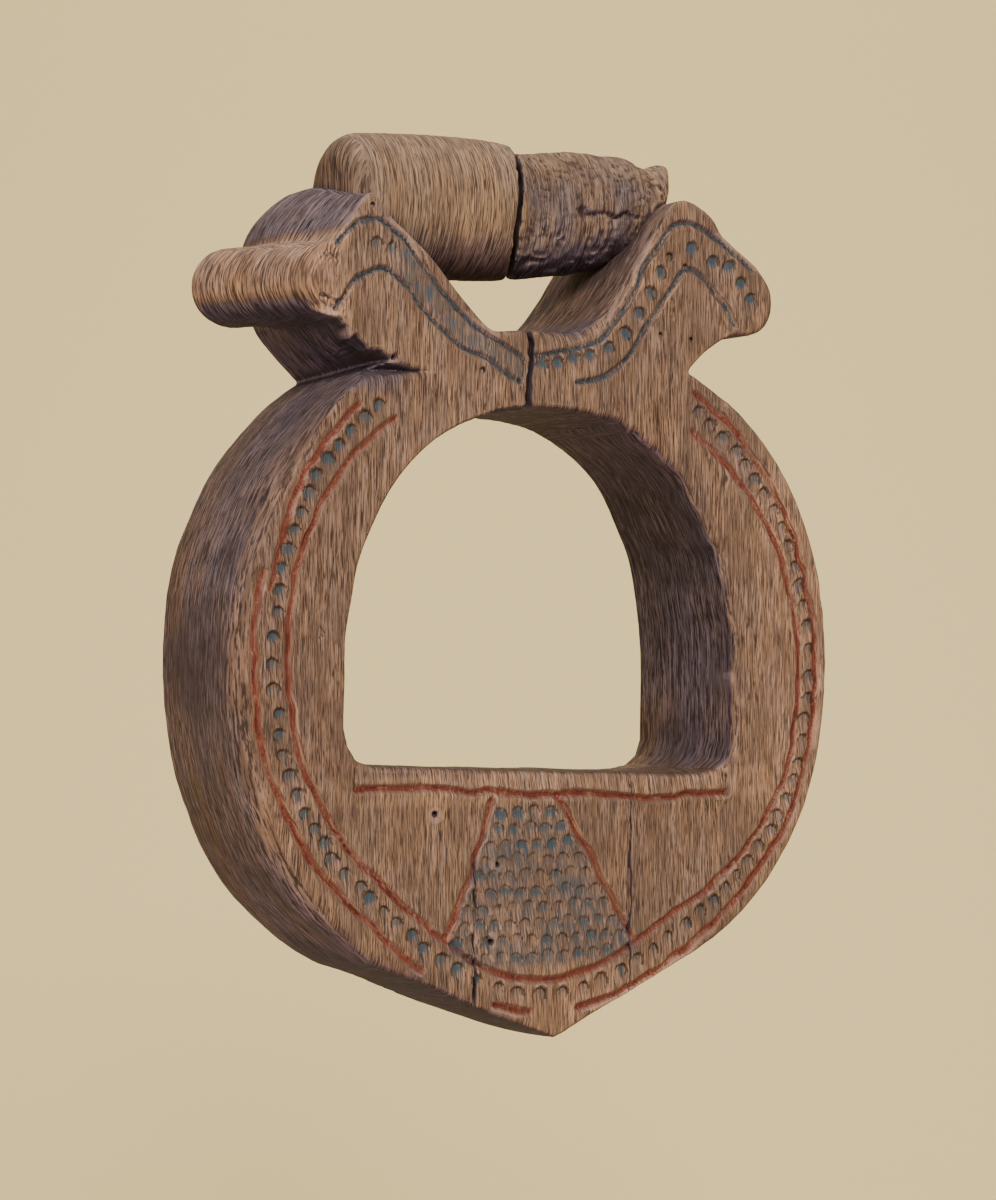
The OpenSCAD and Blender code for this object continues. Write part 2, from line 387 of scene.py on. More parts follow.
# The border as (angle, inset) pairs, clockwise from the upper right. The painted outer
# line is broken where the edge has worn away.
outer_insets = [(59, 4), (40, 5), (20, 5), (0, 3.5), (-20, 3), (-45, 4), (-65, 3.5), (-90, 5),
                (-112, 5.8), (-130, 8.2), (-150, 7.6), (-180, 7.4), (-210, 6), (-234, 4)]
inner_insets = [(55, 13), (40, 13), (20, 11), (0, 9), (-20, 9), (-35, 10.5), (-50, 12.5),
                (-65, 14), (-90, 14), (-100, 13.5), (-115, 16), (-130, 18), (-150, 17),
                (-170, 15), (-190, 14), (-210, 13.5), (-237, 13)]
red_lines = [
    [(59, 4), (40, 5), (20, 5), (0, 3.5), (-20, 3), (-45, 4), (-65, 3.5), (-85, 4.8)],
    [(-93, 5), (-100, 5.4)], [(-114, 5.8), (-130, 8.4), (-150, 7.2), (-168, 5.8), (-195, 4.6)],
    [(-193, 8.2), (-210, 6), (-234, 4)], inner_insets]
for insets in red_lines:
    groove(border_line(insets), red)

random = np.random.default_rng(5)
angle = 56.0
while angle > -236:
    inset = (inset_at(outer_insets, angle) + inset_at(inner_insets, angle)) / 2
    x, z = border_point(math.radians(angle), inset)
    size = random.uniform(0.85, 1.15)
    lean, inked = (0.5, 1.0) if angle < -100 else (-0.4, 0.75)
    scoop(x + random.uniform(-0.6, 0.6), z, 2.0 * size, 2.6 * size,
          random.uniform(-0.3, 0.3) + lean, depth=1.25, strength=random.uniform(0.8, 1.2) * inked)
    angle -= random.uniform(3.6, 4.2)

nosing_left, nosing_right = -57.5, 58
groove([(nosing_left, -161.5), (-38, -161.3), (-20, -163), (-5, -164.5), (14, -164.3),
        (30, -166.4), (44, -166), (nosing_right, -165.5)], red, depth=1.3)
groove([(nosing_left, -156), (nosing_left - 0.5, -161)], hollow, depth=0.8, half_w=0.7)
groove([(nosing_right, -161), (nosing_right + 0.3, -166)], hollow, depth=0.8, half_w=0.7)
on_nosing = ramp(X, nosing_left - 1, nosing_left + 1)
on_nosing *= ramp(-X, -nosing_right - 1, -nosing_right + 1)
relief += on_nosing * 0.8 * ramp(Z, -163.5 - 0.02 * X, tread_z + 2 - 0.04 * X)

panel_top, panel_foot = -167.0, -211.0
groove([(-16.5, -165.5), (-19, -173), (-22, -181), (-24, -188), (-28, -195), (-30.5, -202)], red)
groove([(3.5, -165.5), (9, -174), (14, -182), (19, -191), (23, -198), (27.5, -205)], red)
rows_of_scales, scale_pitch = 10, 4.7
for row in range(rows_of_scales):
    z = panel_top - 2.6 - row * (panel_top - panel_foot) / rows_of_scales
    left = -15.5 - 0.38 * (panel_top - z)
    right = 2.0 + 0.62 * (panel_top - z)
    if row == rows_of_scales - 1:
        left, right = left + 5, right - 7
    count = int(round((right - left) / scale_pitch))
    for n in range(count):
        x = left + (n + 0.5 + 0.12 * (row % 2)) * (right - left) / count
        scoop(x, z + random.uniform(-0.5, 0.5), 2.1, 2.5, random.uniform(-0.15, 0.15),
              strength=random.uniform(0.55, 1.2) * (1.15 if row < 3 else 0.95), ink=0.8)

on_panel = ramp(X, -17 + 0.36 * (Z + 165), -15 + 0.36 * (Z + 165)) * ramp(-Z, 165, 168)
on_panel *= ramp(-X, -5 + 0.60 * (Z + 165), -2 + 0.60 * (Z + 165)) * ramp(Z, -214, -210)
blue = np.maximum(blue, on_panel * (0.55 + 0.22 * noise(X / 5, 1.5, Z / 5)))

# Two blue lines over the right horn, then two over the left one.
head_lines = [
    [(-3, -44), (4, -42.5), (12, -40.5), (18, -37.5), (25, -30), (29, -23), (32, -17), (36, -11),
     (40, -6.5), (45, -4.5), (51, -6), (56, -8.5), (61, -12.5), (67, -16.5)],
    [(10, -50.5), (15, -49.5), (21, -47), (26, -43), (30, -38), (34, -32), (38, -26), (42, -21),
     (46, -17.5), (50, -19), (54, -23), (58, -28), (61, -32.5)],
    [(-62.5, -16), (-60, -13), (-57.5, -10.8), (-55, -9.3), (-52, -9), (-48, -10), (-43, -13),
     (-40, -17), (-35, -23), (-30, -29), (-23, -35), (-15, -40), (-8.5, -43.5), (-6, -47),
     (-7.5, -50.5)],
    [(-63, -33), (-58, -26.5), (-54, -23), (-50, -22), (-46, -23), (-42, -26.5), (-38, -31),
     (-33, -36), (-25, -42), (-15, -46.5), (-8, -51)],
]
for points in head_lines:
    groove(curve(points), blue, depth=1.1, half_w=0.75, strength=1.15)
    groove(curve(points), outline, depth=0, half_w=0.6, strength=0.95)
right_cuts = [(-1, -46.5), (4, -46), (9, -44.5), (14, -43.5), (20, -41), (25, -36.5), (29.5, -31),
              (33, -25), (36.5, -19), (47, -12), (54, -15.5), (59, -16.5), (63, -21), (66, -25.5)]
for n, (x, z) in enumerate(right_cuts):
    scoop(x, z, 2.0, 2.6, -0.9 if 4 < n < 9 else -0.1, depth=1.2, strength=1.2)
band_edge = np.vstack([curve(head_lines[2]), curve(head_lines[3])[::-1]])
left_band = ramp(-loop_distance(band_edge), 0, 1.6) * ramp(X, -56, -40)
relief += left_band * (0.3 + 0.45 * noise(X / 2.4, 9.5, Z / 2.4))
blue = np.maximum(blue, left_band * (0.62 + 0.28 * noise(X / 2.2, 3.5, Z / 2.2)))
for x, z in [(-51, -16), (-46.3, -17.2)]:
    scoop(x, z, 1.9, 2.8, 0.1, depth=0.9, strength=0.9)
for x, z in [(-57, -17), (-38, -25.5), (-30, -34.5), (-17, -43)]:
    scoop(x, z, 2.4, 2.2, 0.9, depth=0.4, strength=0.6, ink=0.7)

# Worm holes as (x, z, radius), and the finest drying cracks.
worm_holes = [(-52, -5, 0.8), (-19, -48, 0.7), (-34, -168.5, 0.9), (-15, -183, 0.6),
              (-17, -204, 0.8), (40, -14, 1.1), (45, -16.5, 0.7), (37, -36, 0.6), (47, -37, 0.6)]
hairlines = [
    [(26.3, -166), (26.8, -180), (25.8, -195), (26.6, -204), (26.3, -219), (27, -224)],
    [(-22.3, -180), (-21.6, -192), (-22.4, -203), (-21.8, -212), (-22.2, -222)],
    [(55, -168), (53.5, -177)],
    [(-61, -27), (-60, -31), (-61.5, -36)],
    [(46, -6), (45.5, -12)],
    [(41, -26), (41.4, -29), (40.8, -32)],
    [(-38, -15.5), (-36, -20)],
    [(-67.5, -118), (-66, -119.5), (-67.5, -120.5)],
    [(-64.5, -18), (-62.5, -21), (-63.3, -25)],
    [(-66, -30), (-62, -31.5), (-60, -29)],
]
# Each crack is a shallow groove that is darkened as painted shade.
for points in hairlines:
    groove(points, hollow, depth=0.6, half_w=0.38)


# ---------------------------------------------------------------- Cutting it out
# The outlines, the rounded edges and the carving come together, one slice of depth at a
# time. The old edge at the front left is worn round and the rest is crisper.

edge_round = 1.4 + 6.0 * ramp(-X, 40, 80) * ramp(-Z, 52, 75) * ramp(ring_front, -14, -4)
edge_round += 7.0 * ramp(-X, 57, 66) * ramp(Z, -36, -32) * ramp(-Z, 13, 18)
edge_round += 1.5 * ramp(X, 62, 72) * ramp(Z, -38, -33)
edge_round += 4.2 * ramp(X, -2, 0) * ramp(-X, -32, -20) * ramp(Z, -52, -47)
edge_round += 1.5 * ramp(-hole_front, -6, -2) * ramp(X, 0, 25) * ramp(Z, -165, -140)
volume = np.empty((len(xs), len(ys), len(zs)), np.float32)
bar_volume = np.empty_like(volume)
band = 2.5
worm_depth = 3.5
back_relief = 0.5 + 0.5 * noise(X / 19, 9.5, Z / 40) + 0.2 * noise(X / 5, 5.5, Z / 12)
for j, y in enumerate(ys):
    back = float(np.clip((y + half_depth) / (2 * half_depth), 0, 1))
    swell = (y / half_depth) ** 2 - 1.4
    turned = ramp(np.float32(back), 0.02, 0.75)
    head = head_front + (head_back - head_front) * turned
    torn_skin = ramp(head_front, -4.5, -1.5) * ramp(-y, half_depth - 11, half_depth - 4)
    head += torn_edge * torn_fibres * torn_skin
    ring = ring_front + (ring_back - ring_front) * back
    hole = hole_front + (hole_back - hole_front) * back
    sides = merge(ring + swell, head, 1.5) + 0.8 * hand_wobble
    sides = np.maximum(sides, -neck_notch - 16 * back)
    sides = merge(sides, left_roll(float(y)), 1.0)
    sides = trim(sides, -hole - 0.6, 1.2)
    front = -half_depth + relief - y
    solid = trim(sides, front, edge_round)
    solid = trim(solid, y - half_depth + back_relief, 2.5)
    if y < -half_depth + worm_depth:
        for x, z, r in worm_holes:
            solid = np.maximum(solid, r - np.hypot(X - x, Z - z) + 0.45 * shake_x)
    volume[:, j, :] = solid
    bar_volume[:, j, :] = hanger_bar(float(y))
whole = np.minimum(volume, bar_volume)


def sample(points, field):
    """The value of a field at points in millimetres: the nearest column, in line over depth."""
    i = np.clip(np.round((points[:, 0] - xs[0]) / cell).astype(int), 0, len(xs) - 1)
    k = np.clip(np.round((points[:, 2] - zs[0]) / cell).astype(int), 0, len(zs) - 1)
    if field.ndim == 2:
        return field[i, k]
    depth = np.interp(points[:, 1], ys, np.arange(len(ys)))
    j = np.minimum(depth.astype(int), len(ys) - 2)
    return field[i, j, k] + (field[i, j + 1, k] - field[i, j, k]) * (depth - j)


def vertex_normals(points, faces):
    """Smooth normals for a mesh of four-sided faces."""
    a, b, c, d = (points[faces[:, n]] for n in range(4))
    across = np.cross(c - a, d - b)
    normals = np.zeros_like(points)
    for corner in faces.T:
        for axis in range(3):
            normals[:, axis] += np.bincount(corner, across[:, axis], len(points))
    return normals / (np.linalg.norm(normals, axis=1, keepdims=True) + 1e-12)


def largest_part(points, faces):
    """Keeps the biggest connected part of a mesh, without the loose splinters."""
    label = np.arange(len(points))
    a = faces.ravel()
    b = np.roll(faces, -1, axis=1).ravel()
    settled = False
    while not settled:
        lower = label.copy()
        np.minimum.at(lower, a, label[b])
        np.minimum.at(lower, b, label[a])
        lower = lower[lower]
        settled = np.array_equal(lower, label)
        label = lower
    kept = label == np.bincount(label).argmax()
    renumbered = np.cumsum(kept) - 1
    return points[kept], renumbered[faces[kept[faces[:, 0]]]]


def surface_of(field):
    """The skin of a solid as a mesh of four-sided faces, turned to face outwards."""
    grid = openvdb.FloatGrid(band)
    grid.copyFromArray(np.clip(field, -band, band))
    points, triangles, quads = grid.convertToPolygons(isovalue=0.0, adaptivity=0.0)
    points = np.column_stack([
        xs[0] + points[:, 0] * cell,
        np.interp(points[:, 1], np.arange(len(ys)), ys),
        zs[0] + points[:, 2] * cell,
    ])
    faces = quads.astype(np.int64)
    if len(triangles):
        faces = np.vstack([faces, np.column_stack([triangles, triangles[:, :1]])])
    points, faces = largest_part(points, faces)
    first = points[faces[:, 0]]
    across = np.cross(points[faces[:, 1]] - first, points[faces[:, 3]] - first)
    if (across * first).sum() < 0:
        faces = faces[:, ::-1]
    return points, faces


def quad_mesh(name, points, faces):
    """A smooth mesh in metres, with only its sharp edges left sharp."""
    mesh = bpy.data.meshes.new(name)
    mesh.vertices.add(len(points))
    mesh.vertices.foreach_set("co", (points * 0.001).astype(np.float32).ravel())
    mesh.loops.add(faces.size)
    mesh.loops.foreach_set("vertex_index", faces.astype(np.int32).ravel())
    mesh.polygons.add(len(faces))
    mesh.polygons.foreach_set("loop_start", np.arange(0, faces.size, 4, dtype=np.int32))
    mesh.update(calc_edges=True)
    mesh.polygons.foreach_set("use_smooth", np.ones(len(faces), bool))
    mesh.set_sharp_from_angle(angle=math.radians(55))
    return mesh


def fibre_grooves(points, normals):
    """How deep the weather has cut between the fibres, which run down every side."""
    x, y, z = points.T
    sideways = ramp(np.abs(normals[:, 0]), 0.4, 0.6)
    on_faces = noise(x / 1.3, y / 20, z / 22) + 0.6 * noise(x / 0.7, y / 12 + 9, z / 12)
    on_sides = noise(x / 20, y / 2.6, z / 22 + 7) + 0.6 * noise(x / 12, y / 1.6 + 9, z / 12)
    fibres = on_faces + (on_sides - on_faces) * sideways
    return 0.10 * np.clip(0.4 - fibres, 0, 2)


def wooden_piece(name, field, marks, shade_and_tint_of):
    """Turns a field into one piece of wood: its mesh, its fibres and a mask for each layer.

    The masks are its painted and cut marks, its shut-in corners for dirt and painted shade,
    its worn edges, its mask of painted shade and light with some real tone, and its underside.
    """
    near_reach, far_reach, inward = 4.0, 14.0, 2.0
    points, faces = surface_of(field)
    normals = vertex_normals(points, faces)
    points -= normals * fibre_grooves(points, normals)[:, None]
    on_front = ramp(-normals[:, 1], 0.15, 0.5) * ramp(-points[:, 1], 5, 10)
    mesh = quad_mesh(name, points, faces)
    near = sample(points + normals * near_reach, whole) / near_reach
    far = sample(points + normals * far_reach, whole) / far_reach
    thickness = sample(points - normals * inward, whole) / -inward
    layers = {label: on_front * sample(points, mark) for label, mark in marks.items()}
    # Masks for dirt and painted shade in shut-in corners, for edge wear, for painted shade and light
    # with some real tone, and for painted shade on faces that look down.
    layers |= {
        "shut_in": np.clip(1 - 0.5 * near - 0.5 * far, 0, 1),
        "worn_edge": np.clip(1 - thickness, 0, 1),
        "tint": shade_and_tint_of(points, normals),
        "underside": ramp(-normals[:, 2], 0.2, 0.8),
    }
    for label, values in layers.items():
        layer = mesh.attributes.new(label, "FLOAT", "POINT")
        layer.data.foreach_set("value", values.astype(np.float32))
    piece = bpy.data.objects.new(name, mesh)
    bpy.context.scene.collection.objects.link(piece)
    return piece


# ---------------------------------------------------------------- Dry carved wood
# Bare, weathered wood: pale fibres between dark ones, all upright, with brown patches,
# dirt and painted shade in the hollows, painted shade on the sides and undersides and
# painted light on the roll's top, worn edges, and what is left of the red and blue paint.


def fibre_group():
    """Wood fibres: coarse strands, fine strokes, broad patches and tones, each from 0 to 1.

    They run down the surface, whichever way it faces. Height is for the bump.
    """
    group = bpy.data.node_groups.new("wood_fibres", "ShaderNodeTree")
    for name in ("Position", "Normal"):
        group.interface.new_socket(name=name, in_out="INPUT", socket_type="NodeSocketVector")
    group.interface.new_socket(name="Strokes per metre", in_out="INPUT", socket_type="NodeSocketFloat")
    for name in ("Strands", "Strokes", "Patches", "Tones", "Height"):
        group.interface.new_socket(name=name, in_out="OUTPUT", socket_type="NodeSocketFloat")
    nodes, links = group.nodes, group.links
    inside = nodes.new("NodeGroupInput")
    outside = nodes.new("NodeGroupOutput")
    facing = nodes.new("ShaderNodeSeparateXYZ")
    links.new(inside.outputs["Normal"], facing.inputs[0])
    sideness = nodes.new("ShaderNodeMath")
    sideness.operation = "ABSOLUTE"
    links.new(facing.outputs["X"], sideness.inputs[0])
    sideways = nodes.new("ShaderNodeMapRange")
    sideways.interpolation_type = "SMOOTHSTEP"
    sideways.inputs["From Min"].default_value = 0.40
    sideways.inputs["From Max"].default_value = 0.60
    links.new(sideness.outputs[0], sideways.inputs["Value"])
    scaled = nodes.new("ShaderNodeVectorMath")
    scaled.operation = "SCALE"
    links.new(inside.outputs["Position"], scaled.inputs[0])
    links.new(inside.outputs["Strokes per metre"], scaled.inputs["Scale"])

    def texture(stretch, detail, rough, low_end, high_end, name):
        """One noise, stretched along the fibres, sharpened and sent out."""
        across, along = stretch
        directions = []
        for pull in ((across, along, along), (along, 0.4 * across, along)):
            pulled = nodes.new("ShaderNodeVectorMath")
            pulled.operation = "MULTIPLY"
            links.new(scaled.outputs[0], pulled.inputs[0])
            pulled.inputs[1].default_value = pull
            made = nodes.new("ShaderNodeTexNoise")
            made.inputs["Scale"].default_value = 1.0
            made.inputs["Detail"].default_value = detail
            made.inputs["Roughness"].default_value = rough
            links.new(pulled.outputs[0], made.inputs["Vector"])
            directions.append(made)
        both = nodes.new("ShaderNodeMix")
        links.new(sideways.outputs["Result"], both.inputs["Factor"])
        links.new(directions[0].outputs["Fac"], both.inputs["A"])
        links.new(directions[1].outputs["Fac"], both.inputs["B"])
        sharp = nodes.new("ShaderNodeMapRange")
        sharp.interpolation_type = "SMOOTHSTEP"
        sharp.inputs["From Min"].default_value = low_end
        sharp.inputs["From Max"].default_value = high_end
        links.new(both.outputs["Result"], sharp.inputs["Value"])
        links.new(sharp.outputs["Result"], outside.inputs[name])
        return both.outputs["Result"]

    strands = texture((0.50, 0.016), 3.0, 0.65, 0.36, 0.64, "Strands")
    strokes = texture((1.1, 0.045), 2.0, 0.7, 0.36, 0.60, "Strokes")
    texture((0.05, 0.010), 3.0, 0.6, 0.40, 0.62, "Tones")
    texture((0.025, 0.012), 2.0, 0.6, 0.35, 0.65, "Patches")
    height = nodes.new("ShaderNodeMath")
    height.operation = "ADD"
    links.new(strands, height.inputs[0])
    links.new(strokes, height.inputs[1])
    links.new(height.outputs[0], outside.inputs["Height"])
    return group


wood_fibres = fibre_group()
warm_tone = (1.10, 1.00, 0.83)
purple_shade = (0.54, 0.55, 1.00)
lit_and_pale = (1.42, 1.38, 1.32)
shade_and_tone = (0.80, 0.79, 0.82)
cool_shade = (0.84, 0.98, 1.42)
deep_shade = (0.47, 0.50, 0.62)
corner_dirt_and_shade = (0.044, 0.029, 0.036)
cut_dirt_and_shade = (0.032, 0.021, 0.018)
red_halo = (0.27, 0.11, 0.07)
red_paint = (0.150, 0.034, 0.024)
thick_red = (0.060, 0.016, 0.012)
blue_paint = (0.033, 0.063, 0.089)
ink = (0.030, 0.020, 0.016)
# Each colour here is multiplied into the wood, with the mask's values where it starts and is full.
# The mask is mostly painted shade; below 0 it is painted light on the roll's top and a paler rim.
tint_colours = [
    (lit_and_pale, -0.05, -0.9),
    (shade_and_tone, 0.05, 0.5),
    (cool_shade, 0.35, 1.0),
    (deep_shade, 1.0, 1.45),
]
# A coat covers the wood: its colour, its mask, where it starts and is full, and its strength.
coats = [
    # Dirt and painted shade in shut-in corners, then dirt and painted shade in cuts and cracks; on the
    # bar the cut mask also darkens knots.
    (corner_dirt_and_shade, "shut_in", 0.55, 0.98, 0.65),
    (cut_dirt_and_shade, "hollow", 0.45, 1.0, 0.8),
    (red_halo, "red_paint", 0.05, 0.40, 0.40),
    (red_paint, "red_paint", 0.36, 0.66, 0.82),
    (thick_red, "red_paint", 0.64, 0.95, 0.75),
    (blue_paint, "blue_paint", 0.30, 1.0, 0.88),
    (ink, "outline", 0.52, 0.86, 0.75),
]


def carved_wood(name, pale, mid, dark, fineness=3900.0):
    """The finish of one kind of piece: its three wood colours under the shared colours of painted
    shade and light, and coats.
    """
    material = bpy.data.materials.new(name)
    material.use_nodes = True
    nodes, links = material.node_tree.nodes, material.node_tree.links
    shader = nodes["Principled BSDF"]
    place = nodes.new("ShaderNodeTexCoord")
    fibres = nodes.new("ShaderNodeGroup")
    fibres.node_tree = wood_fibres
    fibres.inputs["Strokes per metre"].default_value = fineness
    links.new(place.outputs["Object"], fibres.inputs["Position"])
    links.new(place.outputs["Normal"], fibres.inputs["Normal"])

    def feed(value, socket):
        """Links an output to a socket, or sets a plain value on it."""
        if isinstance(value, bpy.types.NodeSocket):
            links.new(value, socket)
        else:
            socket.default_value = (*value, 1.0) if isinstance(value, tuple) else value

    def mix(a, b, factor, mode="MIX"):
        """Lays one colour over another, by a factor."""
        node = nodes.new("ShaderNodeMix")
        node.data_type = "RGBA"
        node.blend_type = mode
        feed(a, node.inputs[6])
        feed(b, node.inputs[7])
        feed(factor, node.inputs[0])
        return node.outputs[2]

    def maths(operation, a, b):
        """The difference or product of two values."""
        node = nodes.new("ShaderNodeMath")
        node.operation = operation
        feed(a, node.inputs[0])
        feed(b, node.inputs[1])
        return node.outputs[0]

    def span(value, low_end, high_end, top=1.0):
        """0 at the low end of a value, top at its high end, and smooth between them."""
        node = nodes.new("ShaderNodeMapRange")
        node.interpolation_type = "SMOOTHSTEP"
        node.inputs["From Min"].default_value = low_end
        node.inputs["From Max"].default_value = high_end
        node.inputs["To Max"].default_value = top
        feed(value, node.inputs["Value"])
        return node.outputs["Result"]

    def painted(attribute):
        """A stored mask, frayed by the fibres so that its edge is worn away."""
        source = nodes.new("ShaderNodeAttribute")
        source.attribute_name = attribute
        frayed = maths("MULTIPLY", maths("SUBTRACT", fibres.outputs["Strokes"], 0.5), 0.22)
        return maths("SUBTRACT", source.outputs["Fac"], frayed)

    strokes = fibres.outputs["Strokes"]
    patch = tuple(0.62 * c for c in mid)
    wood = mix(mid, pale, maths("MULTIPLY", fibres.outputs["Strands"], 0.8))
    wood = mix(dark, wood, span(strokes, 0.0, 0.9))
    wood = mix(wood, warm_tone, maths("MULTIPLY", fibres.outputs["Tones"], 0.75), "MULTIPLY")
    wood = mix(wood, patch, maths("MULTIPLY", fibres.outputs["Patches"], 0.45))
    wood = mix(wood, pale, span(painted("worn_edge"), 0.16, 0.50, 0.55))
    # Painted shade on the sides, undersides and inner walls, painted light on the roll's top, and some
    # real tone.
    for colour, start, full in tint_colours:
        wood = mix(wood, colour, span(painted("tint"), start, full), "MULTIPLY")
    wood = mix(wood, purple_shade, maths("MULTIPLY", painted("underside"), 0.95), "MULTIPLY")
    for colour, mask, start, full, strength in coats:
        wood = mix(wood, colour, span(painted(mask), start, full, strength))
    links.new(wood, shader.inputs["Base Color"])
    rough = nodes.new("ShaderNodeMapRange")
    rough.inputs["To Min"].default_value = 0.75
    rough.inputs["To Max"].default_value = 0.95
    links.new(strokes, rough.inputs["Value"])
    links.new(rough.outputs["Result"], shader.inputs["Roughness"])
    bump = nodes.new("ShaderNodeBump")
    bump.inputs["Strength"].default_value = 0.7
    bump.inputs["Distance"].default_value = 0.0005
    links.new(fibres.outputs["Height"], bump.inputs["Height"])
    links.new(bump.outputs["Normal"], shader.inputs["Normal"])
    shader.inputs["Specular IOR Level"].default_value = 0.15
    return material


# ---------------------------------------------------------------- Left and right cheeks, tread block
# As it dried the block split through the neck, and two finer cracks run down through the
# tread block. Each part keeps its own side of the torn wood.

tread_left_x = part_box("tread_block")[0].x * 1000
tread_right_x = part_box("tread_block")[1].x * 1000
above = Z > ring_z
crack_lip = 2.2
cheek_marks = {"red_paint": red, "blue_paint": blue, "hollow": hollow, "outline": outline}
cheek_wood = carved_wood("cheek_wood", pale=(0.385, 0.250, 0.190), mid=(0.160, 0.099, 0.071),
                         dark=(0.037, 0.024, 0.019))


def cheek_shade_and_tint(points, normals):
    """How much the wood is darkened (above 0) or lightened (below 0), mostly as painted shade.

    The sides, the undersides, the inner walls, the saddle wall, the shoulder, the neck and
    the face near the left edge and the hole are darkened as painted shade, and the left arm's face
    has a darker real tone. The roll's top is lightened as painted light, and the lowest rim is paler.
    """
    x, y, z = points.T
    # Painted shade on faces that don't look forward and on faces that look down.
    side = 1 - ramp(-normals[:, 1], 0.15, 0.92)
    under = ramp(-normals[:, 2], 0.1, 0.6)
    facing_down = ramp(-normals[:, 2], 0.2, 0.7)
    back_face = ramp(np.abs(normals[:, 1]), 0.5, 0.9)
    faded = 0.30 * ramp(y, -8, 18) + 0.35 * noise(x / 14, y / 10, z / 26)
    # The inner walls of the foot hole are darkened most, as painted shade.
    inner = ramp(-np.hypot(x, (z + 115) * 0.85), -66, -60) * (1 - back_face)
    dark = ramp(-z, 30, 38) * (0.92 + 0.38 * inner * (1 - facing_down) - faded * (1 - inner))
    # Upward faces low on the tread are darkened less, as painted light, and the ring's bottom is
    # darker, as painted shade.
    dark *= 1 - 0.55 * ramp(normals[:, 2], 0.7, 0.9) * ramp(-z, 150, 158)
    dark += 0.5 * ramp(-z, 200, 212) * ramp(-x, -5, 5)
    # Painted shade on the saddle's wall, on the left shoulder and under the roll.
    saddle_wall = 0.5 * ramp(x, -2, 12) * ramp(-x, -50, -40) * ramp(z, -44, -36)
    shoulder = 1.15 * ramp(-x, 48, 54) * ramp(z, -14, -9)
    roll = ramp(-x, 56, 62) * ramp(z, -38, -34) * ramp(-z, 10, 14)
    # On the face: painted shade near the left edge and near the hole, a darker real tone on the left
    # arm, and a darker patch at the neck notch.
    near_edge = 0.6 * ramp(sample(points, ring_front), -7, 0.5) * ramp(-x, 0, 40) * ramp(-z, 45, 60)
    near_hole = 0.5 * ramp(sample(points, hole_front), 9, 0) * ramp(x, 5, 30) * ramp(z, -160, -120)
    arm = 0.36 * ramp(-x, 48, 62) * ramp(-z, 52, 64) * ramp(z, -190, -160)
    neck_patch = ramp(-np.hypot((x + 51) / 1.7, z + 50.5), -8.5, -2)
    front = np.maximum(np.maximum(near_edge, neck_patch), np.maximum(near_hole, arm))
    round_it = np.clip(dark + saddle_wall + shoulder + 0.9 * roll * under, 0, 1.3)
    tint = np.maximum(side * round_it, front)
    tint += 0.3 * tint * under
    # The lowest rim, the right edge and the tread's front strip are paler on the front.
    rim = ramp(-z, 206, 214) + ramp(x, 62, 74) * ramp(-z, 60, 80)
    rim += ramp(z, -168, -165) * ramp(-z, 157, 159)
    rim = 0.6 * np.clip(rim, 0, 1) * (1 - side) * (1 - ramp(near_edge, 0, 0.2))
    # The roll's top is lightened as painted light.
    return tint - np.maximum(roll * (1 - under), rim)


for name in ("left_cheek", "right_cheek", "tread_block"):
    cut = np.empty_like(volume)
    for j, y in enumerate(ys):
        tear = 0.9 * noise(y / 9, 2.5, Z / 7) + 0.5 * noise(y / 3, 6.5, Z / 2.5)
        neck = X - crack_x - tear
        near_front = ramp(-y, half_depth - 8, half_depth)
        left_open = near_front * (-0.1 + 0.16 * ramp(-Z, 176, 188) + 0.75 * ramp(-Z, 206, 222))
        right_open = near_front * 0.16 * ramp(-Z, 164, 190) * ramp(Z, -222, -208)
        left_line = X - tread_left_x - 0.5 * tear
        right_line = X - tread_right_x - 0.5 * tear
        if name == "left_cheek":
            torn_more = 0.3 * noise(y / 4, 1.5, Z / 3)
            side = np.where(above, neck + 0.8 + torn_more, left_line + left_open)
        elif name == "right_cheek":
            side = np.where(above, 0.6 - neck, right_open - right_line)
        else:
            side = np.maximum(right_line + right_open, left_open - left_line)
            side = np.where(above, 9.0, side)
        under_bar = 0.6 + bar_volume[:, j, :]
        rounding = np.where(above & (X < crack_x), crack_lip, 0.01)
        cut[:, j, :] = np.maximum(trim(volume[:, j, :], side, rounding), -under_bar)
    piece = wooden_piece(name + "_carved", cut, cheek_marks, cheek_shade_and_tint)
    piece.data.materials.append(cheek_wood)
    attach(piece, "root")
    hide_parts(name)


# ---------------------------------------------------------------- Hanger bar halves
# The wide crack parts the bar too. The left half is clean and upright in the grain, and
# the right half is darker, full of small knots, with one flake lifting off it.


def bar_shade_and_tint(points, normals):
    """Darker wood on the knotty half, less so along its top and at its right end, and painted shade on
    the bar's lower part and its left end.
    """
    x, y, z = points.T
    knotty = ramp(x, crack_x - 1, crack_x + 5)
    under = ramp(-z, 14 - 14 * knotty, 20)
    blotches = 0.25 * noise(x / 6, y / 6, z / 6)
    # Painted shade on the bar's lower part and on faces that look down.
    low_side = 0.10 * under + 0.4 * ramp(-normals[:, 2], 0.3, 0.9)
    # Painted shade on faces that look left, such as the left end.
    ends = 0.5 * ramp(-normals[:, 0], 0.4, 0.9)
    top_paler = 0.45 * ramp(z, 4, 13)
    right_end_paler = 0.6 * ramp(x, 36, 44)
    knotty_stain = knotty * (0.80 - top_paler + blotches) * (1 - right_end_paler)
    return np.clip(knotty_stain + low_side + ends, 0, 1.3)


